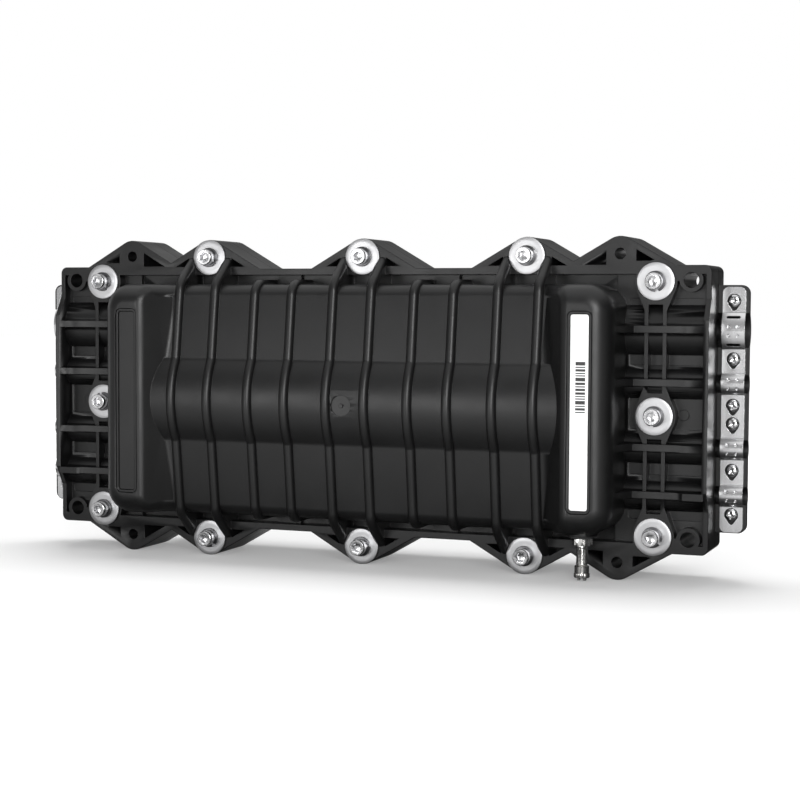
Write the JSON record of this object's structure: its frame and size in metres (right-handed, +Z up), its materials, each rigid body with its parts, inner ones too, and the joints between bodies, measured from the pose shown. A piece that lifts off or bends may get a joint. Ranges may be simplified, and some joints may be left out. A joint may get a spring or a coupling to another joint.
{
  "type": "inline splice closure",
  "caption": "Black moulded two-part splice closure with ribbed tub, bolted lobed flange, cable ports with clamp strips at both ends, air valve and hinged splice trays inside.",
  "frame": {"origin": "middle of the bounding box's bottom, on the floor under the parting plane", "axes": "+X along the closure towards its right end seen from the front, -Y out of the cover towards the viewer, +Z up; the parting plane is Y = 0"},
  "size_m": [0.4648, 0.1132, 0.201],
  "materials": {
    "shell_plastic": "satin black glass filled polypropylene, fine grain",
    "zinc_steel": "bright zinc plated steel",
    "stainless": "brushed stainless sheet",
    "valve_nickel": "nickel plated brass, satin",
    "seal_rubber": "black sealing rubber",
    "plug_rubber": "black port plug rubber",
    "label_white": "white polyester sticker, bare",
    "carrier_steel": "galvanised sheet steel",
    "tray_plastic": "light grey moulded plastic",
    "holder_plastic": "dark grey foam rubber comb",
    "lid_clear": "clear plastic lid"
  },
  "bodies": {
    "housing": {"cover_shell": "shell_plastic", "base_shell": "shell_plastic", "label": "label_white", "cover_bolts": "zinc_steel", "flat_washers": "zinc_steel", "spring_washers": "zinc_steel", "bolt_nuts": "zinc_steel", "gasket_top": "seal_rubber", "gasket_bottom": "seal_rubber", "valve_body": "valve_nickel", "valve_seal": "seal_rubber", "valve_locknut": "valve_nickel", "frame_plate": "carrier_steel", "frame_screws": "zinc_steel", "tray_bracket": "carrier_steel", "bracket_screws": "zinc_steel", "cable_ledge_left": "shell_plastic", "clamp_strip_left": "stainless", "strip_screws_left": "stainless", "port_plugs_left": "plug_rubber", "strength_clamps_left": "carrier_steel", "strength_screws_left": "zinc_steel", "cable_ledge_right": "shell_plastic", "clamp_strip_right": "stainless", "strip_screws_right": "stainless", "port_plugs_right": "plug_rubber", "strength_clamps_right": "carrier_steel", "strength_screws_right": "zinc_steel"},
    "tray_lower": {"tray_lower": "tray_plastic", "splice_holder_lower": "holder_plastic"},
    "tray_middle": {"tray_middle": "tray_plastic", "splice_holder_middle": "holder_plastic"},
    "tray_upper": {"tray_upper": "tray_plastic", "splice_holder_upper": "holder_plastic", "tray_lid": "lid_clear"},
    "valve_cap": {"valve_cap": "valve_nickel"},
    "valve_pin": {"valve_pin": "valve_nickel"}
  },
  "joints": [
    {"name": "tray_upper_swing", "type": "hinge", "parent": "housing", "child": "tray_upper", "pos_m": [-0.114, -0.00375, 0.1005], "axis": [0, 0, -1], "range_deg": [0, 4.8]},
    {"name": "tray_middle_swing", "type": "hinge", "parent": "housing", "child": "tray_middle", "pos_m": [-0.114, 0.00525, 0.1005], "axis": [0, 0, -1], "range_deg": [0, 3.2]},
    {"name": "tray_lower_swing", "type": "hinge", "parent": "housing", "child": "tray_lower", "pos_m": [-0.114, 0.01425, 0.1005], "axis": [0, 0, -1], "range_deg": [0, 1.6]},
    {"name": "valve_cap_turn", "type": "hinge", "parent": "housing", "child": "valve_cap", "pos_m": [0.143, -0.033, 0.0065], "axis": [0, 0, -1], "continuous": true},
    {"name": "valve_pin_push", "type": "slide", "parent": "housing", "child": "valve_pin", "axis": [0, 0, 1], "range_m": [0, 0.001], "stiffness_N_per_m": 300}
  ],
  "couplings": [
    {"joint": "tray_middle_swing", "follows": "tray_upper_swing", "ratio": 0.6666},
    {"joint": "tray_lower_swing", "follows": "tray_upper_swing", "ratio": 0.3333}
  ]
}
